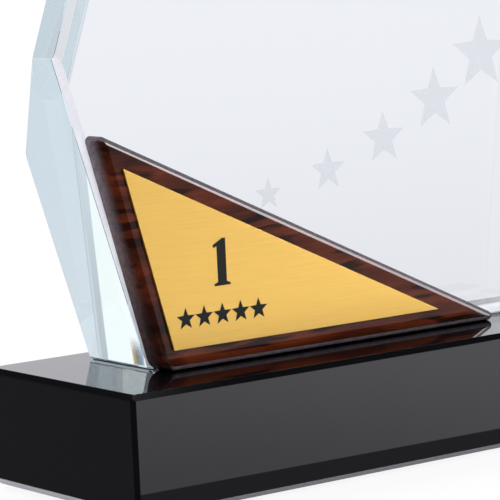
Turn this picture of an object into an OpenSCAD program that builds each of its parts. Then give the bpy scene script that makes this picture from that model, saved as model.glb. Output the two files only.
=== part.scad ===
// Faceted glass award on a black glass base, with a wood corner plaque and a gold plate.
// Millimetres, +Z up, the front faces -Y, the origin is under the middle of the base.

/* [Base block] */
// Length of the base along X
base_l = 160; // [150:1:220]
// Depth of the base along Y
base_d = 60; // [56:0.5:90]
// Height of the base
base_h = 27.4; // [15:0.1:50]
// Chamfer round the top edges
base_top_chamfer = 1.2; // [0.4:0.1:3]
// Chamfer on the four upright corners
base_corner_chamfer = 0.9; // [0.4:0.1:3]
// Chamfer along the bottom edges of the front and the back
base_foot_chamfer = 1.3; // [0.4:0.1:4]
// Chamfer along the bottom edges of the two ends
base_end_chamfer = 1.8; // [0.4:0.1:4]

/* [Base pad] */
// Thickness of the felt pad that the base stands on
pad_t = 1; // [0.5:0.1:3]
// Distance from the edge of the base's flat underside to the pad
pad_inset = 8; // [0.5:0.5:10]

/* [Glass plate] */
// Thickness of the glass
glass_t = 25.4; // [18:0.1:30]
// Distance from the base's front face back to the glass's front face
glass_setback = 24; // [15:0.5:28]
// Distance from the middle of the base to the left end of the glass's foot
foot_left = 57.9; // [50:0.1:70]
// Distance from the middle of the base to the right end of the glass's foot
foot_right = 66; // [50:0.1:72]
// Width across the left corner and the right corner, where the glass is widest
wide_w = 158.7; // [150:0.1:210]
// Height of the left corner above the foot
left_corner_z = 71.35; // [62:0.05:90]
// Height of the right corner above the foot
right_corner_z = 102.7; // [80:0.1:110]
// Width across the shoulder corners
shoulder_w = 115; // [95:1:135]
// Height of the shoulder corners above the foot
shoulder_z = 133; // [115:1:145]
// Width of the flat top edge
top_w = 60; // [40:1:80]
// Height of the top edge above the foot
top_z = 153; // [148:1:180]

/* [Glass bevels] */
// Width of the narrow bevel round the front face
front_bevel_w = 1.8; // [0.5:0.1:4]
// Depth of the narrow bevel into the glass's edges
front_bevel_d = 1; // [0.3:0.1:3]
// Width of the front bevel on the two lower sides
side_bevel_w = 1.2; // [0.5:0.1:4]
// Depth of the front bevel into the two lower sides
side_bevel_d = 2; // [0.3:0.1:4]
// Width of the wide bevels on the back face
back_bevel_w = 14; // [4:0.5:20]
// Depth of the wide bevels into the glass's sides
back_bevel_d = 15.9; // [4:0.1:16]

/* [Glass glue] */
// Thickness of the glue film under the glass
bond_t = 0.2; // [0.1:0.05:0.5]
// Distance from the edge of the glass's foot to the glue film
bond_inset = 0.5; // [0.2:0.1:2]

/* [Wood plaque] */
// Length of the plaque's foot, corner to corner before rounding
plaque_w = 102.3; // [80:0.1:110]
// How far the plaque's left corner lies outside the glass's foot
plaque_overhang = 0.9; // [-5:0.1:3]
// Lean of the plaque's left side away from upright, in degrees
plaque_lean = 15.15; // [5:0.05:20]
// Slope of the plaque's long side below level, in degrees
plaque_slope = 25.2; // [20:0.1:32]
// Thickness of the wood
plaque_t = 6; // [4:0.1:10]
// Radius of the rounded front edges
plaque_edge_r = 1.8; // [0.5:0.1:3]
// Radius of the lower left corner
plaque_foot_r = 4; // [1:0.1:6]
// Radius of the right-hand tip
plaque_tip_r = 1.2; // [0.6:0.1:3]
// Radius of the top corner
plaque_top_r = 1.2; // [0.6:0.1:4]

/* [Plaque tape] */
// Thickness of the tape between the wood and the glass
tape_t = 0.4; // [0.2:0.1:1.2]
// Width of each strip of tape
tape_w = 8; // [4:0.5:10]
// Distance from the plaque's foot to the lower strip
tape_foot_gap = 4; // [3:0.5:10]
// Distance between the two strips
tape_pitch_gap = 7; // [3:0.5:10]
// Distance from the ends of the strips to the plaque's long side and to the glass's front bevel
tape_end_gap = 5.5; // [2:0.5:8]

/* [Gold plate] */
// Thickness of the metal plate
plate_t = 0.5; // [0.3:0.1:1.5]
// Margin of bare wood along the plaque's left side
plate_margin_left = 3.5; // [2:0.1:8]
// Margin of bare wood along the plaque's long side
plate_margin_slope = 5; // [3:0.1:8]
// Margin of bare wood along the plaque's foot
plate_margin_foot = 5; // [3:0.1:8]
// Thickness of the adhesive film behind the plate
film_t = 0.15; // [0.05:0.05:0.4]
// Distance from the plate's edges to the film
film_inset = 0.6; // [0.2:0.1:2]

/* [Hidden] */

// Steps in each rounded corner of the plaque and in its rounded front edge
corner_steps = 10;
edge_steps = 6;
// Length by which a cutting tool stands clear of the solid that it cuts
clear = 1;
// Thickness of one slice of the plaque's rounded front edge
slice_t = 0.01;

// Levels, from the ground up
base_top_z = pad_t + base_h;
foot_z = base_top_z + bond_t;

// Stack of faces behind and in front of the glass's front face
glass_front_y = -base_d / 2 + glass_setback;
glass_back_y = glass_front_y + glass_t;
plaque_back_y = glass_front_y - tape_t;
plaque_front_y = plaque_back_y - plaque_t;
film_front_y = plaque_front_y - film_t;

// Left end of the plaque's foot
plaque_x = -foot_left - plaque_overhang;

// Outline of the glass seen from the front, anticlockwise from the foot's left corner
glass_outline = [
    [-foot_left, 0],
    [foot_right, 0],
    [wide_w / 2, right_corner_z],
    [shoulder_w / 2, shoulder_z],
    [top_w / 2, top_z],
    [-top_w / 2, top_z],
    [-shoulder_w / 2, shoulder_z],
    [-wide_w / 2, left_corner_z]
];
// Edges of that outline, by the index of their first corner, that carry a wide bevel at the back
wide_bevel_edges = [2, 4, 6];
// Edges that are the lower sides, with a front bevel of their own
side_edges = [1, 7];

// Inward normals of the plaque's left side, foot and long side
left_n = [cos(plaque_lean), sin(plaque_lean)];
foot_n = [0, 1];
slope_n = [-sin(plaque_slope), -cos(plaque_slope)];

// Directions in which those three sides face, in degrees, going anticlockwise
left_face = 180 + plaque_lean;
foot_face = 270;
slope_face = 450 - plaque_slope;

// Point where two lines meet, each given by its normal and its distance from the origin
function meet(n1, d1, n2, d2) =
    let (det = n1.x * n2.y - n1.y * n2.x)
    [(d1 * n2.y - d2 * n1.y) / det, (n1.x * d2 - n2.x * d1) / det];

// Normal of an outline's edge from p to q, pointing into the outline
function inward_normal(p, q) = [p.y - q.y, q.x - p.x] / norm(q - p);

// How far the front bevel cuts an edge back, at a depth below the front face
function front_cut(edge, depth) =
    len(search(edge, side_edges)) > 0
        ? side_bevel_w * max(0, 1 - depth / side_bevel_d)
        : front_bevel_w * max(0, 1 - depth / front_bevel_d);

// Outline of the glass at a depth below its front face
function glass_section(depth) = [
    for (i = [0 : len(glass_outline) - 1])
        let (
            last = (i + len(glass_outline) - 1) % len(glass_outline),
            here = glass_outline[i],
            n1 = inward_normal(glass_outline[last], here),
            n2 = inward_normal(here, glass_outline[(i + 1) % len(glass_outline)])
        )
        meet(n1, n1 * here + front_cut(last, depth), n2, n2 * here + front_cut(i, depth))
];

// Corners of the plaque's triangle with its left side, long side and foot each moved inwards
function foot_corner(left, foot) = meet(left_n, left, foot_n, foot);
function tip_corner(foot, slope) = meet(foot_n, foot, slope_n, slope + slope_n.x * plaque_w);
function top_corner(slope, left) = meet(slope_n, slope + slope_n.x * plaque_w, left_n, left);
function triangle(left, slope, foot) = [
    foot_corner(left, foot),
    tip_corner(foot, slope),
    top_corner(slope, left)
];

// Points round one corner, about a centre, between two facing directions
function arc(centre, r, from, to) = [
    for (i = [0 : corner_steps])
        let (a = from + (to - from) * i / corner_steps)
        centre + r * [cos(a), sin(a)]
];

// Outline of the plaque with rounded corners, moved inwards all round
function plaque_outline(inset) =
    let (
        foot_i = max(plaque_foot_r, inset),
        tip_i = max(plaque_tip_r, inset),
        top_i = max(plaque_top_r, inset)
    )
    concat(
        arc(foot_corner(foot_i, foot_i), foot_i - inset, left_face, foot_face),
        arc(tip_corner(tip_i, tip_i), tip_i - inset, foot_face, slope_face),
        arc(top_corner(top_i, top_i), top_i - inset, slope_face, left_face + 360)
    );

// Place of the plaque's long side at a height above its foot
function plaque_right(z) = plaque_w - z / tan(plaque_slope);

// Rectangle with its lower corners and its upper corners cut off
function cut_rectangle(w, h, low, high) = [
    [-w / 2 + low, 0],
    [w / 2 - low, 0],
    [w / 2, low],
    [w / 2, h - high],
    [w / 2 - high, h],
    [-w / 2 + high, h],
    [-w / 2, h - high],
    [-w / 2, low]
];

// Puts a shape drawn in X and Z on its place, growing from a back face towards the front
module upright(x, y, z, thickness) {
    translate([x, y, z])
        rotate([90, 0, 0])
            linear_extrude(thickness)
                children();
}

// Long wedge that cuts a wide bevel along one edge of the glass, from its back face
module bevel_wedge(edge) {
    p = glass_outline[edge];
    q = glass_outline[(edge + 1) % len(glass_outline)];
    run = norm(q - p);
    translate([p.x, p.y, 0])
        rotate(atan2(q.y - p.y, q.x - p.x))
            translate([-wide_w, 0, 0])
                rotate([90, 0, 90])
                    linear_extrude(run + 2 * wide_w)
                        polygon([
                            [-clear, -clear],
                            [back_bevel_w * (1 + clear / back_bevel_d), -clear],
                            [-clear, back_bevel_d * (1 + clear / back_bevel_w)]
                        ]);
}

// Thin felt sheet that keeps the base off the table
module base_pad() {
    flat_l = base_l - 2 * base_end_chamfer;
    flat_d = base_d - 2 * base_foot_chamfer;
    pad_l = flat_l - 2 * pad_inset;
    pad_d = flat_d - 2 * pad_inset;
    color("dimgray")
        translate([-pad_l / 2, -pad_d / 2, 0])
            cube([pad_l, pad_d, pad_t]);
}

// Solid block of black glass with every edge chamfered
module base_block() {
    color([0.05, 0.05, 0.06])
        translate([0, 0, pad_t])
            intersection() {
                linear_extrude(base_h)
                    translate([0, -base_d / 2])
                        polygon(cut_rectangle(base_l, base_d, base_corner_chamfer, base_corner_chamfer));
                rotate([90, 0, 0])
                    linear_extrude(base_d, center = true)
                        polygon(cut_rectangle(base_l, base_h, base_end_chamfer, base_top_chamfer));
                rotate([90, 0, 90])
                    linear_extrude(base_l, center = true)
                        polygon(cut_rectangle(base_d, base_h, base_foot_chamfer, base_top_chamfer));
            }
}

// Film of clear glue between the glass's foot and the base
module glass_bond() {
    bond_w = foot_left + foot_right - 2 * bond_inset;
    bond_d = glass_t - front_bevel_d - 2 * bond_inset;
    color([0.2, 0.22, 0.25])
        translate([-foot_left + bond_inset, glass_back_y - bond_inset - bond_d, base_top_z])
            cube([bond_w, bond_d, bond_t]);
}

// Thick clear plate: narrow bevel round the front, wide bevels behind the sides and the top
module glass_plate() {
    color([0.82, 0.91, 0.95, 0.5])
        translate([0, glass_back_y, foot_z])
            rotate([90, 0, 0])
                difference() {
                    hull()
                        for (depth = [0, front_bevel_d, side_bevel_d])
                            linear_extrude(glass_t - depth)
                                polygon(glass_section(depth));
                    for (edge = wide_bevel_edges)
                        bevel_wedge(edge);
                }
}

// Two strips of double-sided tape that hold the plaque to the glass
module plaque_tape() {
    color([0.5, 0.44, 0.3])
        for (strip = [0, 1]) {
            low = tape_foot_gap + strip * (tape_w + tape_pitch_gap);
            high = low + tape_w;
            start = max(0, plaque_overhang + side_bevel_w) + tape_end_gap;
            end = plaque_right(high) - tape_end_gap;
            upright(plaque_x, glass_front_y, base_top_z, tape_t)
                translate([start, low])
                    square([end - start, tape_w]);
        }
}

// Lacquered wood triangle with rounded corners and rounded front edges
module wood_plaque() {
    color([0.28, 0.1, 0.05])
        hull() {
            upright(plaque_x, plaque_back_y, base_top_z, plaque_t - plaque_edge_r)
                polygon(plaque_outline(0));
            for (i = [1 : edge_steps]) {
                turn = 90 * i / edge_steps;
                depth = plaque_t - plaque_edge_r * (1 - sin(turn));
                upright(plaque_x, plaque_back_y - depth + slice_t, base_top_z, slice_t)
                    polygon(plaque_outline(plaque_edge_r * (1 - cos(turn))));
            }
        }
}

// Adhesive film that holds the metal plate to the wood
module plate_film() {
    color("gainsboro")
        upright(plaque_x, plaque_front_y, base_top_z, film_t)
            polygon(triangle(
                plate_margin_left + film_inset,
                plate_margin_slope + film_inset,
                plate_margin_foot + film_inset
            ));
}

// Brushed gold triangle on the front of the plaque
module gold_plate() {
    color([0.92, 0.74, 0.36])
        upright(plaque_x, film_front_y, base_top_z, plate_t)
            polygon(triangle(plate_margin_left, plate_margin_slope, plate_margin_foot));
}

base_pad();
base_block();
glass_bond();
glass_plate();
plaque_tape();
wood_plaque();
plate_film();
gold_plate();
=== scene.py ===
"""Dresses a faceted glass award: polished glass, lacquered wood and brushed gold on a black base."""

import math

import bmesh
import bpy
from mathutils import Matrix, Vector


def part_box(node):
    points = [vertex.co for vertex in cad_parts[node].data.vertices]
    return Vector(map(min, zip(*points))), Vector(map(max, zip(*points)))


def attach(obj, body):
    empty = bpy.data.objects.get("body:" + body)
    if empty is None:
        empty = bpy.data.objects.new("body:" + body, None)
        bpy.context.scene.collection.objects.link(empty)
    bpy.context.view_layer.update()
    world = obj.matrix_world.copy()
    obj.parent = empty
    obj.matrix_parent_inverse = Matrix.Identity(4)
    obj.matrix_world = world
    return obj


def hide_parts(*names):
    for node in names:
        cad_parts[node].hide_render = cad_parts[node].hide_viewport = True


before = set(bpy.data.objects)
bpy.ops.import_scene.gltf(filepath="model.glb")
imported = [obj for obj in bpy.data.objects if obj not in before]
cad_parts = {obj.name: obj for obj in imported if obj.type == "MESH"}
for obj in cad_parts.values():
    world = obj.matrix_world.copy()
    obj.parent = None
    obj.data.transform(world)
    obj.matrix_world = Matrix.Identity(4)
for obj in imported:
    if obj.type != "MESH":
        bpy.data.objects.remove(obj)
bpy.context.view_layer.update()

bl_info = {
    "name": "Glass Award Dresser",
    "version": (1, 0, 0),
    "blender": (4, 5, 0),
    "location": "3D View > Sidebar > Award",
    "description": "Dresses a glass award with polished glass, lacquered wood and brushed gold",
    "category": "Object",
}

BODY = "root"
# Points closer than this are one point of a merged copy
MERGE = 2e-6
# Faces that turn by less than this lie in one plane
FLAT_ANGLE = math.radians(0.2)
# Edges that turn by more than this are eased
SHARP_ANGLE = math.radians(18)
# The back turns into its bevels by less than this
BEVEL_ANGLE = math.radians(60)
# Inner radius of a star, as a share of its outer radius
STAR_WAIST = 0.42
# Width of the camera's sensor in millimetres
SENSOR_WIDTH = 36.0
# Sides of the round floor
FLOOR_SIDES = 64
# Gap between the bounce card and the base or the floor
CARD_GAP = 0.0005
BLACK = (0.0, 0.0, 0.0)
WHITE = (1.0, 1.0, 1.0)


class Wire:
    """One socket of a node tree. Arithmetic on wires adds Math nodes to that tree."""

    def __init__(self, tree, socket=None):
        self.tree = tree
        self.socket = socket

    def node(self, kind, settings=None, inputs=None, output=0):
        """Adds a node of a type, sets it up, then fills its sockets with values or links."""
        made = self.tree.nodes.new(kind)
        for name, value in (settings or {}).items():
            if name == "stops":
                set_stops(made.color_ramp, value)
            else:
                setattr(made, name, value)
        for key, value in (inputs or {}).items():
            if isinstance(value, Wire):
                self.tree.links.new(value.socket, made.inputs[key])
            else:
                made.inputs[key].default_value = value
        return Wire(self.tree, made.outputs[output] if len(made.outputs) else None)

    def math(self, operation, first, second):
        """Adds one Math node."""
        return self.node("ShaderNodeMath", {"operation": operation}, {0: first, 1: second})

    def __add__(self, other):
        return self.math("ADD", self, other)

    __radd__ = __add__

    def __sub__(self, other):
        return self.math("SUBTRACT", self, other)

    def __rsub__(self, other):
        return self.math("SUBTRACT", other, self)

    def __mul__(self, other):
        return self.math("MULTIPLY", self, other)

    __rmul__ = __mul__


def set_stops(ramp, stops):
    """Gives a colour ramp its stops, as (position, colour) pairs."""
    while len(ramp.elements) < len(stops):
        ramp.elements.new(1.0)
    for element, (position, colour) in zip(ramp.elements, stops):
        element.position = position
        element.color = opaque(colour)


def opaque(colour):
    """A colour of three numbers with full alpha."""
    return (*colour[:3], 1.0)


def rise(value, low, high):
    """0 below low, 1 above high and a smooth climb between them."""
    limits = {"Value": value, "From Min": low, "From Max": high}
    return value.node("ShaderNodeMapRange", {"interpolation_type": "SMOOTHSTEP"}, limits)


def fall(value, low, high):
    """1 below low, 0 above high and a smooth drop between them."""
    return 1 - rise(value, low, high)


def axes(vector):
    """The X, Y and Z wires of a vector."""
    split = vector.node("ShaderNodeSeparateXYZ", inputs={"Vector": vector})
    return [Wire(vector.tree, socket) for socket in split.socket.node.outputs]


def blend(factor, first, second):
    """A colour between two colours, each a wire or three numbers."""
    pair = [c if isinstance(c, Wire) else opaque(c) for c in (first, second)]
    settings = {"data_type": "RGBA", "clamp_factor": True}
    return factor.node("ShaderNodeMix", settings, {0: factor, 6: pair[0], 7: pair[1]}, 2)


def grain(place, waves, detail=4.0, roughness=0.55, shift=(0.0, 0.0, 0.0)):
    """Noise with its own number of waves per metre along X, Y and Z."""
    mapped = place.node("ShaderNodeMapping", inputs={"Vector": place, "Location": shift, "Scale": waves})
    sockets = {"Vector": mapped, "Scale": 1.0, "Detail": detail, "Roughness": roughness}
    return place.node("ShaderNodeTexNoise", inputs=sockets)


def relief(height, strength, distance):
    """A normal that follows a height."""
    sockets = {"Height": height, "Strength": strength, "Distance": distance}
    return height.node("ShaderNodeBump", inputs=sockets)


def new_finish(name):
    """An empty material and its Object coordinates."""
    material = bpy.data.materials.new(name)
    material.use_nodes = True
    material.node_tree.nodes.clear()
    return material, Wire(material.node_tree).node("ShaderNodeTexCoord", output="Object")


def principled(place, **sockets):
    """The main shader, with its sockets named as in the editor and spaces as underscores."""
    named = {key.replace("_", " "): value for key, value in sockets.items()}
    return place.node("ShaderNodeBsdfPrincipled", inputs=named)


def finished(material, surface, **sockets):
    """A material that ends in its surface shader."""
    surface.node("ShaderNodeOutputMaterial", inputs={"Surface": surface, **sockets})
    return material


def scaled(factor, colour):
    """A colour times a factor."""
    return [factor * c for c in colour]


def felt_finish(colours):
    """Short dark pile with flecks and a rough nap."""
    material, place = new_finish("felt")
    pile = grain(place, (900, 900, 900), 6, 0.7)
    dark = scaled(0.5, colours.felt)
    shader = principled(
        place,
        Base_Color=blend(rise(pile, 0.3, 0.7), dark, colours.felt),
        Roughness=0.95,
        Normal=relief(pile, 0.6, 0.0004),
    )
    return finished(material, shader)


def black_glass_finish(colours):
    """Polished black glass whose faces that look down are ground and not polished."""
    material, place = new_finish("black glass")
    facing = axes(place.node("ShaderNodeNewGeometry", output="Normal"))
    ground = rise(facing[2] * -1.0, 0.4, 0.6)
    # Painted light: the ground edge of the base's left end is painted lighter, for the light that falls on
    # that end
    end = rise(facing[0] * -1.0, 0.4, 0.6)
    polish = grain(place, (60, 60, 60), 3)
    pits = grain(place, (1500, 1500, 1500), 3, 0.6)
    body = blend(polish, scaled(0.7, colours.black_glass), colours.black_glass)
    fine = blend(end, colours.ground_glass, colours.ground_lit_end)
    stone = blend(pits * 0.15, fine, BLACK)
    shader = principled(
        place,
        Base_Color=blend(ground, body, stone),
        Roughness=0.012 + 0.012 * polish + ground * 0.5,
        IOR=1.5,
        Normal=relief(pits * ground, 0.3, 0.0001),
    )
    return finished(material, shader)


def clear_glass_finish(colours, studio):
    """Polished clear glass with a faint blue body colour, and a satin cut on the lower sides' bevels,
    painted pale as painted light and darker above the plaque as painted shade.
    """
    material, place = new_finish("clear glass")
    striae = grain(place, (25, 25, 6), 2)
    clear = principled(
        place,
        Base_Color=blend(striae, (0.985, 0.99, 0.995), WHITE),
        Roughness=0.0,
        IOR=studio.glass_ior,
        Transmission_Weight=1.0,
    )
    tooth = grain(place, (900, 900, 900), 4, 0.7)
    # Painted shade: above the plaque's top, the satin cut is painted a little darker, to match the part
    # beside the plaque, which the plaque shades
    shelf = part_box("wood_plaque")[1].z
    above = rise(axes(place)[2], shelf - 0.002, shelf + 0.003)
    cut = blend(above, colours.satin_painted_light, scaled(0.87, colours.satin_painted_light))
    # The satin's pale colour is painted light: it stands in for the light that a polished bevel passes and
    # mirrors
    satin_painted_light = principled(
        place,
        Base_Color=blend(tooth * 0.1, cut, BLACK),
        Roughness=0.5,
        Normal=relief(tooth, 0.2, 0.0001),
    )
    facing = axes(place.node("ShaderNodeNewGeometry", output="True Normal"))
    ahead = facing[1] * -1.0
    # Only the lower sides' front bevels look to the front by about half
    bevel = rise(ahead, 0.46, 0.49) * fall(ahead, 0.54, 0.57)
    surface = place.node("ShaderNodeMixShader", inputs={0: bevel * studio.satin_share, 1: clear, 2: satin_painted_light})
    body = {"Color": opaque(colours.glass_tint), "Density": studio.glass_density}
    volume = place.node("ShaderNodeVolumeAbsorption", inputs=body)
    return finished(material, surface, Volume=volume)


def plain_finish(name, colour, roughness, waves, depth):
    """A sheet or film with a fine even tooth."""
    material, place = new_finish(name)
    tooth = grain(place, (waves, waves, waves), 4)
    shader = principled(
        place,
        Base_Color=blend(tooth, scaled(0.82, colour), colour),
        Roughness=roughness + 0.1 * tooth,
        Normal=relief(tooth, 0.3, depth),
    )
    return finished(material, shader)


def smear_finish(colours, sizes):
    """Adhesive squeezed out at the tape's right end, which wets the glass and thins out to nothing."""
    material, place = new_finish("adhesive smear")
    left, _, bottom, top = smear_span(sizes)
    across, _, up = axes(place)
    tooth = grain(place, (1500, 1500, 1500), 4)
    # The smear is at its thickest up to this height, and from this far in
    thick_height = bottom + 0.0025
    thick_start = left + 0.25 * sizes.smear_length
    stain = place.node(
        "ShaderNodeValToRGB",
        {
            "stops": [
                (0.0, colours.smear_edge),
                (0.27, colours.smear_stain),
                (0.42, scaled(0.62, colours.smear_stain)),
                (0.6, colours.smear_end),
                (1.0, scaled(1.9, colours.smear_end)),
            ]
        },
        {"Fac": (across - left) * (1.0 / sizes.smear_length)},
    )
    shader = principled(
        place,
        Base_Color=stain,
        Alpha=rise(across, left, thick_start) * fall(up, thick_height, top),
        Roughness=0.6 + 0.1 * tooth,
        Normal=relief(tooth, 0.3, 0.00005),
    )
    return finished(material, shader)


def lacquered_wood_finish(colours, sizes):
    """Dark red-brown figured wood, with level streaks, under clear gloss lacquer."""
    material, place = new_finish("lacquered wood")
    low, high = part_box("wood_plaque")
    across, along, up = axes(place)
    # The margin beside the left edge is darker, most of all near the foot
    heel = high.x - PlaqueOutline(sizes).right_end()
    inward = (across - heel) * math.cos(sizes.plaque_lean) + (up - low.z) * math.sin(sizes.plaque_lean)
    shaded = fall(inward, 0.004, 0.008) * (1 - 0.8 * rise(up, low.z + 0.016, low.z + 0.028))
    # Level figure that sways a little, with dark streaks and pores
    sway = grain(place, (40, 40, 40), 2)
    lift = place.node("ShaderNodeCombineXYZ", inputs={2: 0.004 * sway})
    bent = place.node("ShaderNodeVectorMath", {"operation": "ADD"}, {0: place, 1: lift})
    figure = grain(bent, (40, 140, 260), 4, 0.5)
    streak = rise(grain(bent, (60, 140, 480), 1, 0.4, (3.1, 0.0, 7.7)), 0.54, 0.66)
    pores = rise(grain(place, (200, 900, 2600), 3, 0.6), 0.5, 0.72)
    fade_up = 0.17 * rise(up, low.z, high.z)
    fade_right = 0.08 * rise(across, low.x, high.x)
    tone = figure.node(
        "ShaderNodeValToRGB",
        {
            "stops": [
                (0.32, colours.wood_dark),
                (0.5, colours.wood_mid),
                (0.68, colours.wood_light),
            ]
        },
        {"Fac": figure + 0.14 - fade_up - fade_right - 0.2 * shaded},
    )
    black = scaled(0.3, colours.wood_dark)
    toned = blend(streak * 0.9, tone, black)
    pored = blend(pores * 0.4, toned, black)
    facing = axes(place.node("ShaderNodeNewGeometry", output="Normal"))
    sideways, ahead, down = (component * -1.0 for component in facing)
    # Painted shade: the wood is painted darker where it turns to the left, on its underside and along its
    # foot
    painted_left_shade = 0.4 * rise(sideways, 0.0, 0.25)
    painted_underside_shade = rise(down, 0.65, 0.85)
    # Painted shade along the foot, where the plaque meets the base
    painted_foot_shade = 0.5 * fall(up, low.z + 0.001, low.z + 0.0035)
    wood = blend(painted_left_shade + painted_underside_shade + painted_foot_shade, pored, black)
    # Dust haze on the lacquer with a painted sheen over it: on the left edge, where the painted sheen is
    # strongest towards the top and the back, on the long edge and on the rounding above the foot
    left = rise(sideways, 0.25, 0.5) * fall(ahead, 0.3, 0.88)
    top = rise(facing[2], 0.25, 0.5)
    under = rise(down, 0.2, 0.35) * fall(down, 0.65, 0.85) * fall(sideways, 0.0, 0.3)
    fade = rise(along, low.y, high.y) * (0.25 + 0.75 * rise(up, low.z, high.z))
    dust = rise(grain(place, (700, 700, 700), 5, 0.75), 0.25, 0.75)
    dust_and_sheen = (left * fade + top + under) * (0.5 + 0.7 * dust)
    # The colour of the dust haze and painted sheen, darker on the faces that look up
    veil = blend(top, colours.lacquer_dust_and_sheen, scaled(0.55, colours.lacquer_dust_and_sheen))
    shader = principled(
        place,
        Base_Color=blend(dust_and_sheen, wood, veil),
        Roughness=0.45,
        Specular_IOR_Level=0.0,
        Coat_Weight=1.0 - 0.75 * top,
        Coat_Roughness=0.03,
        Coat_IOR=1.5,
        Normal=relief(figure, 0.04, 0.0005),
    )
    return finished(material, shader)


def brushed_gold_finish(colours):
    """Gold metal with fine level brush lines, and its edges painted dark as the shade round the plate."""
    material, place = new_finish("brushed gold")
    lines = grain(place, (90, 90, 3600), 2, 0.5)
    shade = rise(lines, 0.3, 0.7)
    brushed = blend(shade, scaled(0.94, colours.gold), colours.gold)
    facing = axes(place.node("ShaderNodeNewGeometry", output="Normal"))
    # Painted shade: the faces that do not look to the front are painted dark and not metal, for the thin
    # shade round the plate
    front = rise(facing[1] * -1.0, 0.5, 0.8)
    shader = principled(
        place,
        Base_Color=blend(front, scaled(0.12, colours.gold), brushed),
        Metallic=front * 0.85,
        Roughness=0.42 + 0.12 * lines,
        Normal=relief(lines, 0.12, 0.00003),
    )
    return finished(material, shader)


def print_finish(colours):
    """Flat black print with a slightly uneven film."""
    material, place = new_finish("black print")
    film = grain(place, (700, 700, 700), 4)
    shader = principled(
        place,
        Base_Color=blend(film, scaled(0.6, colours.ink), colours.ink),
        Roughness=0.5 + 0.2 * film,
        Specular_IOR_Level=0.25,
    )
    return finished(material, shader)


def frost_finish(colours):
    """Sandblasted glass: a pale grain that lets much of the light through."""
    material, place = new_finish("frost")
    grit = grain(place, (1800, 1800, 1800), 3, 0.7)
    shader = principled(
        place,
        Base_Color=blend(grit, scaled(0.9, colours.frost), colours.frost),
        Roughness=0.8,
        Alpha=0.1 + 0.12 * grit,
    )
    return finished(material, shader)


def new_piece(name, mesh, material):
    """A piece at the origin, with its place in its mesh."""
    mesh.materials.clear()
    mesh.materials.append(material)
    piece = bpy.data.objects.new(name, mesh)
    bpy.context.scene.collection.objects.link(piece)
    return piece


def settle(piece, slot, *nodes):
    """Ties a piece to the award's one body, in place of the solids that it stands for."""
    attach(piece, BODY)
    if nodes:
        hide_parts(*nodes)
    return piece


def dress(node, material):
    """Gives a solid of the frame its finish."""
    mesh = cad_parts[node].data
    mesh.materials.clear()
    mesh.materials.append(material)


def merged_copy(node):
    """A copy of a solid with its triangles merged into flat faces."""
    shape = bmesh.new()
    shape.from_mesh(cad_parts[node].data)
    bmesh.ops.remove_doubles(shape, verts=shape.verts, dist=MERGE)
    bmesh.ops.dissolve_limit(shape, angle_limit=FLAT_ANGLE, verts=shape.verts, edges=shape.edges)
    return shape


def ease(shape, edges, width, segments):
    """Rounds edges over, or chamfers them if they get one segment."""
    bmesh.ops.bevel(
        shape, geom=edges, offset=width, segments=segments, profile=0.5, affect="EDGES", clamp_overlap=True
    )


def put_in_order(parts, place):
    """Sorts points or faces by their places, because easing leaves them in another order in each run."""
    for index, part in enumerate(sorted(parts, key=place)):
        part.index = index
    parts.sort()


def eased_mesh(shape, name, width):
    """A mesh of a shape, with its sharp edges eased."""
    sharp = [edge for edge in shape.edges if edge.calc_face_angle() > SHARP_ANGLE]
    ease(shape, sharp, width, 2)
    bmesh.ops.recalc_face_normals(shape, faces=shape.faces)
    for face in shape.faces:
        face.smooth = False
    put_in_order(shape.verts, lambda vertex: vertex.co[:])
    put_in_order(shape.faces, lambda face: face.calc_center_median()[:])
    mesh = bpy.data.meshes.new(name)
    shape.to_mesh(mesh)
    shape.free()
    return mesh


def glass_mesh(name, sizes):
    """The glass, with a chamfered foot and rounded edges between its back and the bevels there."""
    low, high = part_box("glass_plate")
    shape = merged_copy("glass_plate")
    lowest = [edge for edge in shape.edges if max(v.co.z for v in edge.verts) < low.z + MERGE]
    foot = [edge for edge in lowest if min(v.co.y for v in edge.verts) < high.y - MERGE]
    ease(shape, foot, sizes.foot_ease, 1)
    behind = [edge for edge in shape.edges if min(v.co.y for v in edge.verts) > high.y - MERGE]
    ease(shape, [edge for edge in behind if edge.calc_face_angle() < BEVEL_ANGLE], sizes.rear_ease, 4)
    return eased_mesh(shape, name, sizes.edge_ease)


def thinned_copy(node, name, axis, step):
    """A copy of a flat solid, a little thinner than it on the high side of an axis."""
    shape = merged_copy(node)
    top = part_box(node)[1][axis]
    for vertex in shape.verts:
        if top - vertex.co[axis] < step:
            vertex.co[axis] -= step
    mesh = bpy.data.meshes.new(name)
    shape.to_mesh(mesh)
    shape.free()
    return mesh


def smear_span(sizes):
    """Where the squeezed-out adhesive lies on the glass: its left, right, bottom and top."""
    low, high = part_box("plaque_tape")
    right = high.x + sizes.smear_past
    return right - sizes.smear_length, right, low.z - sizes.smear_drop, low.z + sizes.smear_rise


def smear_mesh(name, sizes):
    """A film of adhesive in the gap behind the tape, a hair into the glass."""
    left, right, bottom, top = smear_span(sizes)
    outline = [(left, bottom), (right, bottom), (right, top), (left, top)]
    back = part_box("plaque_tape")[1].y + 0.3 * sizes.air_gap
    return slab(name, outline, back, back - sizes.air_gap)


def slab(name, outline, back, front):
    """A flat shape drawn in X and Z, from a back face to a front face."""
    mesh = bpy.data.meshes.new(name)
    shape = bmesh.new()
    rings = [[shape.verts.new((x, y, z)) for x, z in outline] for y in (back, front)]
    shape.faces.new(rings[0])
    shape.faces.new(rings[1][::-1])
    count = len(outline)
    for i in range(count):
        j = (i + 1) % count
        shape.faces.new((rings[0][j], rings[0][i], rings[1][i], rings[1][j]))
    bmesh.ops.recalc_face_normals(shape, faces=shape.faces)
    shape.to_mesh(mesh)
    shape.free()
    return mesh


def meet(n1, d1, n2, d2):
    """Point where two lines meet, each given by its normal and its distance from the origin."""
    det = n1.x * n2.y - n1.y * n2.x
    return Vector(((d1 * n2.y - d2 * n1.y) / det, (n1.x * d2 - n2.x * d1) / det))


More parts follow.
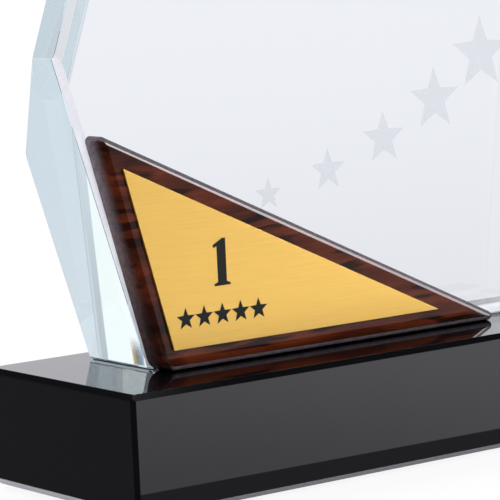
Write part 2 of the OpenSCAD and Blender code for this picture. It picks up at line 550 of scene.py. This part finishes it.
class PlaqueOutline:
    """The plaque's triangle with rounded corners, measured from the left end of its foot."""

    STEPS = 16

    def __init__(self, sizes):
        lean, slope = sizes.plaque_lean, sizes.plaque_slope
        left = Vector((math.cos(lean), math.sin(lean)))
        foot = Vector((0.0, 1.0))
        long = Vector((-math.sin(slope), -math.cos(slope)))
        reach = long.x * sizes.plaque_foot
        left_face = math.pi + lean
        foot_face = 1.5 * math.pi
        long_face = 2.5 * math.pi - slope
        self.corners = (
            (sizes.plaque_foot_radius, (left, 0.0), (foot, 0.0), left_face, foot_face),
            (sizes.plaque_tip_radius, (foot, 0.0), (long, reach), foot_face, long_face),
            (sizes.plaque_top_radius, (long, reach), (left, 0.0), long_face, left_face + 2.0 * math.pi),
        )

    def ring(self, inset):
        """Points of the outline moved inwards, each with the direction in which it faces."""
        found = []
        for radius, (n1, d1), (n2, d2), start, end in self.corners:
            centre_in = max(radius, inset)
            centre = meet(n1, d1 + centre_in, n2, d2 + centre_in)
            for i in range(self.STEPS + 1):
                turn = start + (end - start) * i / self.STEPS
                facing = Vector((math.cos(turn), math.sin(turn)))
                found.append((centre + (centre_in - inset) * facing, facing))
        return found

    def right_end(self):
        """How far the tip reaches to the right."""
        return max(point.x for point, facing in self.ring(0.0))


def plaque_mesh(name, sizes):
    """The plaque, with its front edges rounded over and its normals worked out, not averaged."""
    low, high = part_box("wood_plaque")
    outline = PlaqueOutline(sizes)
    left = high.x - outline.right_end()
    radius = sizes.plaque_edge_radius
    # From the back edge to the front face: the depth, the inset and the turn away from the front
    levels = [(high.y, 0.0, 0.5 * math.pi)]
    for i in range(PlaqueOutline.STEPS + 1):
        tilt = 0.5 * math.pi * (1.0 - i / PlaqueOutline.STEPS)
        levels.append((low.y + radius * (1.0 - math.cos(tilt)), radius * (1.0 - math.sin(tilt)), tilt))
    points = {}
    rings = []
    for y, inset, tilt in levels:
        ring = []
        for point, facing in outline.ring(inset):
            place = tuple(round(c, 8) for c in (left + point.x, y, low.z + point.y))
            normal = Vector((math.sin(tilt) * facing.x, -math.cos(tilt), math.sin(tilt) * facing.y))
            ring.append((points.setdefault(place, len(points)), normal))
        rings.append(ring)
    # Corners with their normals: the front, the back and the bands between the rings
    behind = Vector((0.0, 1.0, 0.0))
    rounds = [rings[-1], [(index, behind) for index, normal in rings[0][::-1]]]
    for lower, upper in zip(rings, rings[1:]):
        for i in range(len(lower)):
            rounds.append((lower[i - 1], lower[i], upper[i], upper[i - 1]))
    faces = []
    normals = []
    for corners in rounds:
        # Corners that fall together count once
        kept = [corner for k, corner in enumerate(corners) if corner[0] != corners[k - 1][0]]
        if len(kept) > 2:
            faces.append([index for index, normal in kept])
            normals.extend(normal for index, normal in kept)
    mesh = bpy.data.meshes.new(name)
    mesh.from_pydata(list(points), [], faces)
    mesh.normals_split_custom_set(normals)
    return mesh


def star_solid(tree, waist, thickness):
    """Nodes for one closed five-point star of radius 1 that stands upright and faces the front."""
    points = {"Points": 5, "Inner Radius": waist, "Outer Radius": 1.0}
    star = tree.node("GeometryNodeCurveStar", inputs=points)
    pointed = tree.node(
        "GeometryNodeTransform", inputs={"Geometry": star, "Rotation": (0.0, 0.0, math.pi / 2)}
    )
    face = tree.node("GeometryNodeFillCurve", inputs={"Curve": pointed})
    lift = {"Mesh": face, "Offset Scale": thickness, "Individual": False}
    raised = tree.node("GeometryNodeExtrudeMesh", inputs=lift)
    back = tree.node("GeometryNodeFlipFaces", inputs={"Mesh": face})
    joined = tree.node("GeometryNodeJoinGeometry")
    for part in (raised, back):
        tree.tree.links.new(part.socket, joined.socket.node.inputs[0])
    whole = tree.node("GeometryNodeMergeByDistance", inputs={"Geometry": joined, "Distance": MERGE})
    turn = {"Geometry": whole, "Rotation": (math.pi / 2, 0.0, 0.0)}
    return tree.node("GeometryNodeTransform", inputs=turn)


def star_tree(name, material):
    """Stars along a line or an arc: their number, size at each end, pitch, bow and thickness."""
    group = bpy.data.node_groups.new(name, "GeometryNodeTree")
    face = group.interface
    wanted = (
        ("Count", "NodeSocketInt"),
        ("First Radius", "NodeSocketFloat"),
        ("Last Radius", "NodeSocketFloat"),
        ("Run", "NodeSocketVector"),
        ("Bow", "NodeSocketVector"),
        ("Waist", "NodeSocketFloat"),
        ("Thickness", "NodeSocketFloat"),
    )
    face.new_socket("Geometry", in_out="OUTPUT", socket_type="NodeSocketGeometry")
    for label, kind in wanted:
        face.new_socket(label, in_out="INPUT", socket_type=kind)
    tree = Wire(group)
    given = tree.node("NodeGroupInput").socket.node.outputs
    size = {label: Wire(group, given[label]) for label, kind in wanted}
    unit = star_solid(tree, size["Waist"], size["Thickness"])
    half = tree.node("ShaderNodeVectorMath", {"operation": "SCALE"}, {0: size["Run"], "Scale": 0.5})
    middle = tree.node("ShaderNodeVectorMath", {"operation": "ADD"}, {0: half, 1: size["Bow"]})
    path = tree.node(
        "GeometryNodeCurveQuadraticBezier",
        inputs={"Resolution": 32, "Start": (0.0, 0.0, 0.0), "Middle": middle, "End": size["Run"]},
    )
    points = tree.node("GeometryNodeCurveToPoints", inputs={"Curve": path, "Count": size["Count"]})
    index = tree.node("GeometryNodeInputIndex")
    share = tree.math("DIVIDE", index, size["Count"] - 1)
    radius = size["First Radius"] + (size["Last Radius"] - size["First Radius"]) * share
    scale = tree.node("ShaderNodeCombineXYZ", inputs={0: radius, 1: 1.0, 2: radius})
    copies = {"Points": points, "Instance": unit, "Scale": scale}
    placed = tree.node("GeometryNodeInstanceOnPoints", inputs=copies)
    real = tree.node("GeometryNodeRealizeInstances", inputs={"Geometry": placed})
    dressed = tree.node("GeometryNodeSetMaterial", inputs={"Geometry": real, "Material": material})
    tree.node("NodeGroupOutput", inputs={"Geometry": dressed})
    return group


def stars_piece(name, material, start, **values):
    """Runs the star tree once and keeps its result as a plain mesh."""
    group = star_tree(name + " tree", material)
    carrier = new_piece(name, bpy.data.meshes.new(name), material)
    modifier = carrier.modifiers.new("Stars", "NODES")
    modifier.node_group = group
    for item in group.interface.items_tree:
        if item.in_out == "INPUT":
            modifier[item.identifier] = values[item.name]
    made = carrier.evaluated_get(bpy.context.evaluated_depsgraph_get())
    mesh = bpy.data.meshes.new_from_object(made)
    carrier.modifiers.clear()
    mesh.transform(Matrix.Translation(start))
    mesh.name = name
    carrier.data = mesh
    if not len(mesh.polygons):
        raise RuntimeError(f"{name} came out empty")
    return carrier


def length_setting(name, description, default):
    """A length that a user can change."""
    return bpy.props.FloatProperty(name=name, description=description, default=default, unit="LENGTH")


def angle_setting(name, description, degrees):
    """An angle that a user can change."""
    default = math.radians(degrees)
    return bpy.props.FloatProperty(name=name, description=description, default=default, subtype="ANGLE")


def place_setting(name, description, default):
    """A place or a step in the plane of the plates, as two lengths that a user can change."""
    return bpy.props.FloatVectorProperty(
        name=name, description=description, size=2, default=default, subtype="XYZ", unit="LENGTH"
    )


def colour_setting(name, description, default):
    """A colour that a user can change."""
    return bpy.props.FloatVectorProperty(
        name=name, description=description, default=default, subtype="COLOR"
    )


class AwardSizes(bpy.types.PropertyGroup):
    """Sizes of the award's dressed pieces."""

    edge_ease: length_setting("Edge ease", "Width of the eased edges of the glass", 0.00012)
    foot_ease: length_setting("Foot ease", "Width of the chamfer round the glass's foot", 0.0005)
    rear_ease: length_setting(
        "Rear ease", "Width of the rounding between the back and its bevels", 0.0008
    )
    base_ease: length_setting("Base ease", "Width of the eased edges of the base", 0.00004)
    plate_ease: length_setting("Plate ease", "Width of the eased edges of the gold plate", 0.00006)
    air_gap: length_setting("Air gap", "Gap between the glass and the glue or the tape", 0.00003)
    smear_length: length_setting("Smear", "Length of the adhesive that wets the glass", 0.0075)
    smear_past: length_setting(
        "Smear past tape", "How far the smear reaches past the tape's right end", 0.0035
    )
    smear_drop: length_setting("Smear drop", "How far the smear runs below the tape", 0.003)
    smear_rise: length_setting("Smear rise", "How far up the tape the smear reaches", 0.0078)
    plaque_foot: length_setting("Plaque foot", "Length of the plaque's foot before rounding", 0.1023)
    plaque_lean: angle_setting("Plaque lean", "Lean of the left side", 15.15)
    plaque_slope: angle_setting("Plaque slope", "Slope of the long side", 25.2)
    plaque_edge_radius: length_setting("Edge radius", "Radius of the rounded front edges", 0.0018)
    plaque_foot_radius: length_setting("Foot radius", "Radius of the lower left corner", 0.004)
    plaque_tip_radius: length_setting("Tip radius", "Radius of the right-hand tip", 0.0012)
    plaque_top_radius: length_setting("Top radius", "Radius of the top corner", 0.0012)
    print_thickness: length_setting("Print", "Thickness of the marks on the gold plate", 0.00005)
    numeral_height: length_setting("Numeral", "Height of the numeral", 0.0107)
    numeral_place: place_setting(
        "Numeral place",
        "Foot of the numeral, across and up from the gold plate's lower left",
        (0.0254, 0.0132),
    )
    star_count: bpy.props.IntProperty(
        name="Stars",
        description="Number of stars in the row",
        default=5,
        min=2,
    )
    star_radius: length_setting("Star radius", "Radius of each printed star", 0.0026)
    star_run: length_setting("Row length", "Length of the row between its end stars", 0.0204)
    star_place: place_setting(
        "Row place", "First star, across and up from the gold plate's lower left", (0.0148, 0.0067)
    )
    frost_radii: bpy.props.FloatVectorProperty(
        name="Frosted radii",
        description="Radius of the first and of the last frosted star",
        size=2,
        default=(0.004, 0.0095),
        unit="LENGTH",
    )
    frost_start: place_setting(
        "Frosted start",
        "First frosted star, across and up from the middle of the glass's foot",
        (-0.012, 0.0345),
    )
    frost_run: place_setting(
        "Frosted run", "From the first frosted star to the last, across and up", (0.068, 0.029)
    )
    frost_bow: place_setting(
        "Frosted bow", "How far the arc's middle is pulled away from its chord", (0.004, -0.008)
    )


class AwardColours(bpy.types.PropertyGroup):
    """Colours of the award's finishes."""

    felt: colour_setting("Felt", "Pad under the base", (0.03, 0.03, 0.035))
    black_glass: colour_setting("Black glass", "Base block", (0.003, 0.0032, 0.004))
    ground_glass: colour_setting("Ground glass", "Ground lower edge of the base", (0.3, 0.3, 0.32))
    # Painted light: the left end's ground edge is painted lighter than the front's
    ground_lit_end: colour_setting(
        "Ground end", "Ground lower edge of the base's left end", (0.5, 0.51, 0.54)
    )
    glass_tint: colour_setting("Glass tint", "Body colour of the thick glass", (0.108, 0.767, 0.917))
    # Painted light: a pale satin that stands in for the light a polished bevel shows
    satin_painted_light: colour_setting("Satin", "Satin bevels of the glass", (0.9, 0.895, 0.955))
    glue: colour_setting("Glue", "Glue under the glass", (0.05, 0.055, 0.065))
    tape: colour_setting("Tape", "Tape behind the plaque", (0.5, 0.44, 0.3))
    smear_edge: colour_setting("Smear, edge", "Thin edge of the smear", (0.95, 0.74, 0.38))
    smear_stain: colour_setting("Smear, stain", "Middle of the smear", (0.78, 0.57, 0.34))
    smear_end: colour_setting("Smear, end", "Far end of the smear", (0.33, 0.4, 0.5))
    film: colour_setting("Film", "Film behind the gold plate", (0.3, 0.28, 0.25))
    wood_dark: colour_setting("Wood, dark", "Dark bands of the wood", (0.028, 0.007, 0.0035))
    wood_mid: colour_setting("Wood, middle", "Middle tone of the wood", (0.09, 0.0165, 0.0053))
    wood_light: colour_setting("Wood, light", "Light patches of the wood", (0.155, 0.0315, 0.0105))
    # Dust haze with a painted sheen on the plaque's edges
    lacquer_dust_and_sheen: colour_setting("Lacquer haze", "Haze on the plaque's edges", (0.185, 0.165, 0.185))
    gold: colour_setting("Gold", "Brushed plate", (0.955, 0.612, 0.152))
    ink: colour_setting("Print", "Marks on the gold plate", (0.012, 0.012, 0.012))
    frost: colour_setting("Frost", "Frosted stars on the glass", (0.55, 0.57, 0.6))


class AwardStudio(bpy.types.PropertyGroup):
    """The glass's optics, the camera and the studio."""

    glass_ior: bpy.props.FloatProperty(
        name="Glass index",
        description="Refractive index of the glass",
        default=1.5,
        min=1.0,
    )
    glass_density: bpy.props.FloatProperty(
        name="Glass density",
        description="How strongly the glass takes up light, per metre",
        default=1.2,
        min=0.0,
    )
    satin_share: bpy.props.FloatProperty(
        name="Satin share",
        description="How matt the lower sides' front bevels are",
        default=0.9,
        min=0.0,
        max=1.0,
    )
    camera_place: bpy.props.FloatVectorProperty(
        name="Camera place",
        description="Camera, from the base's front left upper corner",
        default=(-0.32518, -0.48300, 0.10080),
        subtype="TRANSLATION",
        unit="LENGTH",
    )
    camera_yaw: angle_setting("Yaw", "Turn of the camera to the right", 36.565)
    camera_pitch: angle_setting("Pitch", "Tilt of the camera downwards", 6.9146)
    camera_roll: angle_setting("Roll", "Turn of the camera clockwise", 2.5948)
    camera_lens: bpy.props.FloatProperty(
        name="Lens",
        description="Focal length in millimetres",
        default=198.9,
        min=1.0,
    )
    floor_radius: length_setting("Floor radius", "Radius of the white floor", 1.2)
    card_depth: length_setting("Card depth", "Reach of the bounce card in front of the base", 0.127)
    # The card's dim strip is a painted shadow of the base
    card_shadow_strip: length_setting("Card strip", "Width of the card's dim strip beside the base", 0.0226)
    card_end: length_setting("Card end", "Right end of the card", 0.45)
    card_cut: length_setting("Card cut", "How far the card's left end is cut back at its front", 0.079)
    ambient: bpy.props.FloatProperty(
        name="Ambient",
        description="Level of the even light from all round",
        default=0.7,
        min=0.0,
    )


def settings():
    """The scene's sizes, colours and studio."""
    scene = bpy.context.scene
    return scene.award_sizes, scene.award_colours, scene.award_studio


class AWARD_OT_base(bpy.types.Operator):
    """Builds the black base block with eased edges and dresses the felt pad under it"""

    bl_idname = "award.base"
    bl_label = "Base block and pad"

    def execute(self, context):
        sizes, colours, _ = settings()
        dress("base_pad", felt_finish(colours))
        finish = black_glass_finish(colours)
        mesh = eased_mesh(merged_copy("base_block"), "polished_base", sizes.base_ease)
        settle(new_piece("polished_base", mesh, finish), "black_glass", "base_block")
        return {"FINISHED"}


class AWARD_OT_glass(bpy.types.Operator):
    """Builds the clear glass plate with eased edges"""

    bl_idname = "award.glass"
    bl_label = "Glass plate"

    def execute(self, context):
        sizes, colours, studio = settings()
        mesh = glass_mesh("faceted_glass", sizes)
        piece = new_piece("faceted_glass", mesh, clear_glass_finish(colours, studio))
        piece.visible_shadow = False
        settle(piece, "clear_glass", "glass_plate")
        return {"FINISHED"}


class AWARD_OT_adhesives(bpy.types.Operator):
    """Builds the glue film under the glass, the tape and its smear, and dresses the film behind the gold"""

    bl_idname = "award.adhesives"
    bl_label = "Glue, tape and film"

    def execute(self, context):
        sizes, colours, _ = settings()
        glue = plain_finish("clear glue", colours.glue, 0.25, 800, 0.00005)
        film = thinned_copy("glass_bond", "glue_film", 2, sizes.air_gap)
        settle(new_piece("glue_film", film, glue), "glue", "glass_bond")
        tape = plain_finish("amber tape", colours.tape, 0.6, 1500, 0.00005)
        strips = thinned_copy("plaque_tape", "tape_strips", 1, sizes.air_gap)
        settle(new_piece("tape_strips", strips, tape), "tape", "plaque_tape")
        smear = smear_mesh("adhesive_smear", sizes)
        settle(new_piece("adhesive_smear", smear, smear_finish(colours, sizes)), "tape")
        dress("plate_film", plain_finish("adhesive film", colours.film, 0.5, 1500, 0.00002))
        return {"FINISHED"}


class AWARD_OT_plaque(bpy.types.Operator):
    """Builds the lacquered wood plaque with rounded corners and front edges"""

    bl_idname = "award.plaque"
    bl_label = "Wood plaque"

    def execute(self, context):
        sizes, colours, _ = settings()
        mesh = plaque_mesh("lacquered_plaque", sizes)
        finish = lacquered_wood_finish(colours, sizes)
        piece = new_piece("lacquered_plaque", mesh, finish)
        settle(piece, "lacquered_wood", "wood_plaque")
        return {"FINISHED"}


class AWARD_OT_gold(bpy.types.Operator):
    """Builds the brushed gold plate with eased edges"""

    bl_idname = "award.gold"
    bl_label = "Gold plate"

    def execute(self, context):
        sizes, colours, _ = settings()
        mesh = eased_mesh(merged_copy("gold_plate"), "brushed_plate", sizes.plate_ease)
        settle(new_piece("brushed_plate", mesh, brushed_gold_finish(colours)), "gold", "gold_plate")
        return {"FINISHED"}


class AWARD_OT_marks(bpy.types.Operator):
    """Builds the printed numeral and the row of stars on the gold plate"""

    bl_idname = "award.marks"
    bl_label = "Printed marks"

    # Outline of the numeral, in shares of its height from the middle of its foot
    NUMERAL = (
        (-0.21, 0.0), (0.21, 0.0), (0.21, 0.045), (0.115, 0.08), (0.115, 1.0), (0.03, 1.0),
        (-0.22, 0.87), (-0.20, 0.81), (-0.115, 0.84), (-0.115, 0.08), (-0.21, 0.045),
    )

    def execute(self, context):
        sizes, colours, _ = settings()
        ink = print_finish(colours)
        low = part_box("gold_plate")[0]
        across, up = sizes.numeral_place
        tall = sizes.numeral_height
        outline = [(low.x + across + tall * x, low.z + up + tall * z) for x, z in self.NUMERAL]
        numeral = slab("printed_numeral", outline, low.y, low.y - sizes.print_thickness)
        settle(new_piece("printed_numeral", numeral, ink), None)
        across, up = sizes.star_place
        row = stars_piece(
            "printed_stars",
            ink,
            (low.x + across, low.y, low.z + up),
            **{
                "Count": sizes.star_count,
                "First Radius": sizes.star_radius,
                "Last Radius": sizes.star_radius,
                "Run": (sizes.star_run, 0.0, 0.0),
                "Bow": (0.0, 0.0, 0.0),
                "Waist": STAR_WAIST,
                "Thickness": sizes.print_thickness,
            },
        )
        settle(row, None)
        return {"FINISHED"}


class AWARD_OT_frost(bpy.types.Operator):
    """Builds the rising arc of frosted stars on the back of the glass"""

    bl_idname = "award.frost"
    bl_label = "Frosted stars"

    def execute(self, context):
        sizes, colours, _ = settings()
        # The stars stay a hair clear of the glass, which keeps its inner reflections that way
        low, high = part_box("glass_plate")
        across, up = sizes.frost_start
        run_x, run_z = sizes.frost_run
        bow_x, bow_z = sizes.frost_bow
        first, last = sizes.frost_radii
        piece = stars_piece(
            "frosted_stars",
            frost_finish(colours),
            (across, high.y + sizes.print_thickness, low.z + up),
            **{
                "Count": sizes.star_count,
                "First Radius": first,
                "Last Radius": last,
                "Run": (run_x, 0.0, run_z),
                "Bow": (bow_x, 0.0, bow_z),
                "Waist": STAR_WAIST,
                "Thickness": 0.6 * sizes.print_thickness,
            },
        )
        piece.visible_shadow = False
        settle(piece, None)
        return {"FINISHED"}


def aimed(place, target):
    """A matrix that puts a lamp upright at a place, facing a target."""
    back = (Vector(place) - Vector(target)).normalized()
    side = Vector((0.0, 0.0, 1.0)).cross(back).normalized()
    top = back.cross(side)
    turn = Matrix((side, top, back)).transposed().to_4x4()
    return Matrix.Translation(place) @ turn


def add_lamp(name, place, target, size, radiance):
    """A soft rectangular lamp of a given brightness, which doesn't show in reflections."""
    light = bpy.data.lights.new(name, "AREA")
    light.shape = "RECTANGLE"
    light.size, light.size_y = size
    light.energy = radiance * math.pi * size[0] * size[1]
    lamp = bpy.data.objects.new(name, light)
    lamp.matrix_world = aimed(place, target)
    lamp.visible_camera = False
    lamp.visible_transmission = False
    lamp.visible_glossy = False
    bpy.context.scene.collection.objects.link(lamp)


def floor_finish():
    """White floor that keeps a share of its real shade, and with it the award's shadow."""
    material, place = new_finish("white floor")
    across, along, _ = axes(place)
    reach = place.math("POWER", across * across + along * along, 0.5)
    path = place.node("ShaderNodeLightPath", output="Is Camera Ray")
    lit = place.node("ShaderNodeBsdfDiffuse", inputs={"Color": (0.9, 0.9, 0.9, 1.0)})
    white = place.node("ShaderNodeEmission", inputs={"Color": opaque(WHITE), "Strength": 1.0})
    share = path * (0.9 + 0.1 * rise(reach, 0.12, 0.45))
    mixed = place.node("ShaderNodeMixShader", inputs={0: share, 1: lit, 2: white})
    return finished(material, mixed)


def card_finish(edge):
    """A glowing card whose strip beside the base is dim: a painted shadow of the base."""
    material, place = new_finish("bounce card")
    across, along, _ = axes(place)
    # The painted shadow's edge runs at a slight angle to the base
    near = rise(along - 0.03 * across, edge - 0.0005, edge + 0.0005)
    bright = 0.98 + 0.45 * rise(across, -0.08, 0.12) + 0.16 * rise(along * -1.0, 0.05, 0.16)
    level = 0.26 * near + bright * (1 - near)
    glow = place.node("ShaderNodeEmission", inputs={"Color": (1.0, 1.0, 1.04, 1.0), "Strength": level})
    return finished(material, glow)


def stage_sheet(name, corners, material):
    """A flat sheet that belongs to the studio."""
    mesh = bpy.data.meshes.new(name)
    mesh.from_pydata(corners, [], [range(len(corners))])
    sheet = new_piece(name, mesh, material)
    return sheet


def build_world(studio):
    """White for the camera, bright behind and in front of the glass, shaped for reflections."""
    world = bpy.data.worlds.new("studio")
    world.use_nodes = True
    world.node_tree.nodes.clear()
    way = Wire(world.node_tree).node("ShaderNodeTexCoord", output="Generated")
    x, y, z = axes(way)
    paths = way.node("ShaderNodeLightPath").socket.node.outputs
    camera, gloss, through = (
        Wire(way.tree, paths[name]) for name in ("Is Camera Ray", "Is Glossy Ray", "Is Transmission Ray")
    )
    left = x * -1.0
    fore = y * -1.0
    # What polished faces mirror: patches of light, bounded by the direction's X, Y and Z
    backdrop = rise(y, 0.2, 0.6) * rise(x, -0.3, 0.2) * fall(z, 0.3, 0.5)
    shade = rise(left, 0.3, 0.5) * rise(y, 0.5, 0.7) * fall(z, 0.0, 0.2)
    right = rise(x, 0.6, 0.75) * rise(z, 0.2, 0.32) * fall(z, 0.55, 0.65)
    over = rise(z, 0.795, 0.88)
    front = rise(fore, 0.45, 0.75) * rise(z, 0.08, 0.2) * fall(z, 0.5, 0.65) * fall(x, 0.3, 0.5)
    # A narrow bright strip for the plaque's long edge, left out behind glass
    across = -0.5525 * x - 0.4456 * y + 0.7043 * z
    strip = rise(across, -0.13, -0.1) * fall(across, 0.11, 0.14) * rise(x, 0.65, 0.67)
    strip = strip * rise(z, 0.0, 0.03) * fall(z, 0.38, 0.42) * (0.6 + 0.4 * rise(across, -0.1, 0.06))
    bare = fall(Wire(way.tree, paths["Transmission Depth"]), 0.0, 1.0)
    # The floor in front, which lays a thin veil over the lacquer
    veil = rise(fore, 0.5, 0.7) * rise(x, 0.4, 0.52) * rise(z, -0.42, -0.25) * fall(z, -0.02, 0.04)
    veil = veil * (0.5 - 0.22 * rise(z, -0.16, -0.09))
    mirrored = 0.03 + 0.97 * backdrop + 0.08 * shade + 2.0 * right + 1.8 * over + 1.0 * front
    mirrored = mirrored + veil + 11.0 * bare * strip
    # What shows through the glass: a pale room, brighter in front and dimmer to the sides
    side = rise(x, 0.66, 0.76)
    ahead = rise(fore, 0.2, 0.6) * (1 - side)
    high = ahead * rise(z, -0.1, 0.05)
    aside = rise(left, -0.1, 0.1) * rise(y, 0.5, 0.8)
    past = rise(x, 0.75, 0.8) * rise(fore, 0.4, 0.5)
    dim = rise(left, 0.4, 0.6) * rise(z, 0.05, 0.15)
    seen = 0.75 + 0.155 * rise(z, -0.22, -0.04) - 0.09 * side + 0.04 * ahead + 0.23 * high
    seen = seen - 0.12 * aside * rise(z, 0.1, 0.2)
    seen = seen - past * (0.29 - 0.09 * rise(z, 0.0, 0.08) - 0.26 * rise(z, 0.1, 0.2))
    seen = seen * (1 - 0.8 * dim)
    level = camera + (1 - camera) * (
        through * seen + (1 - through) * (gloss * mirrored + (1 - gloss) * studio.ambient)
    )
    tint = blend(through * high, (1.0, 0.995, 1.05), (1.04, 1.0, 0.975))
    cool = blend(camera, tint, WHITE)
    glow = way.node("ShaderNodeBackground", inputs={"Color": cool, "Strength": level})
    way.node("ShaderNodeOutputWorld", inputs={"Surface": glow})
    bpy.context.scene.world = world


class AWARD_OT_stage(bpy.types.Operator):
    """Builds the camera, the white floor, the cards, the lamps and the world"""

    bl_idname = "award.stage"
    bl_label = "Studio"

    def execute(self, context):
        studio = settings()[2]
        scene = context.scene
        scene.view_settings.view_transform = "Standard"
        scene.cycles.max_bounces = 32
        scene.cycles.glossy_bounces = 24
        scene.cycles.transmission_bounces = 24
        low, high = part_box("base_block")
        corner = Vector((low.x, low.y, high.z))

        data = bpy.data.cameras.new("camera")
        data.sensor_width = SENSOR_WIDTH
        data.lens = studio.camera_lens
        data.clip_start = 0.01
        camera = bpy.data.objects.new("camera", data)
        aim = (
            Matrix.Rotation(-studio.camera_yaw, 4, "Z")
            @ Matrix.Rotation(math.pi / 2 - studio.camera_pitch, 4, "X")
            @ Matrix.Rotation(-studio.camera_roll, 4, "Z")
        )
        camera.matrix_world = Matrix.Translation(corner + Vector(studio.camera_place)) @ aim
        scene.collection.objects.link(camera)
        scene.camera = camera

        reach = studio.floor_radius
        turns = [2 * math.pi * i / FLOOR_SIDES for i in range(FLOOR_SIDES)]
        ring = [(reach * math.cos(turn), reach * math.sin(turn), 0.0) for turn in turns]
        floor = stage_sheet("floor", ring, floor_finish())
        floor.visible_glossy = False
        floor.visible_transmission = False

        # The card lies in front of the base and shows only in reflections
        near, far, end = low.y - CARD_GAP, low.y - studio.card_depth, studio.card_end
        sheet = [(low.x + studio.card_cut, far), (end, far), (end, near), (low.x, near)]
        corners = [(x, y, CARD_GAP) for x, y in sheet]
        card = stage_sheet("bounce_card", corners, card_finish(low.y - studio.card_shadow_strip))
        card.visible_camera = False
        card.visible_diffuse = False
        card.visible_transmission = False
        card.visible_shadow = False

        add_lamp(
            "overhead softbox",
            place=(0.1, 0.5, 0.75),
            target=(0.0, 0.0, 0.05),
            size=(0.8, 0.6),
            radiance=4.0,
        )
        add_lamp(
            "front fill",
            place=(-0.5, -0.8, 0.6),
            target=(0.0, 0.0, 0.08),
            size=(0.8, 0.8),
            radiance=2.0,
        )
        build_world(studio)
        return {"FINISHED"}


class AWARD_PT_panel(bpy.types.Panel):
    """Lists the steps that dress the award, with its sizes, colours and studio"""

    bl_idname = "AWARD_PT_panel"
    bl_label = "Glass award"
    bl_space_type = "VIEW_3D"
    bl_region_type = "UI"
    bl_category = "Award"

    def draw(self, context):
        for step in STEPS:
            self.layout.operator(step.bl_idname)
        for group in settings():
            box = self.layout.box()
            for name in group.bl_rna.properties.keys():
                if name not in {"rna_type", "name"}:
                    box.prop(group, name)


STEPS = (
    AWARD_OT_stage,
    AWARD_OT_base,
    AWARD_OT_glass,
    AWARD_OT_adhesives,
    AWARD_OT_plaque,
    AWARD_OT_gold,
    AWARD_OT_marks,
    AWARD_OT_frost,
)
GROUPS = {"award_sizes": AwardSizes, "award_colours": AwardColours, "award_studio": AwardStudio}


def register():
    for kind in (*GROUPS.values(), *STEPS, AWARD_PT_panel):
        bpy.utils.register_class(kind)
    for name, kind in GROUPS.items():
        setattr(bpy.types.Scene, name, bpy.props.PointerProperty(type=kind))


def unregister():
    for name in GROUPS:
        delattr(bpy.types.Scene, name)
    for kind in (AWARD_PT_panel, *STEPS[::-1], *GROUPS.values()):
        bpy.utils.unregister_class(kind)


def main():
    """Registers the add-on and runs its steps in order."""
    register()
    bpy.ops.award.stage()
    bpy.ops.award.base()
    bpy.ops.award.glass()
    bpy.ops.award.adhesives()
    bpy.ops.award.plaque()
    bpy.ops.award.gold()
    bpy.ops.award.marks()
    bpy.ops.award.frost()


if __name__ == "__main__":
    main()
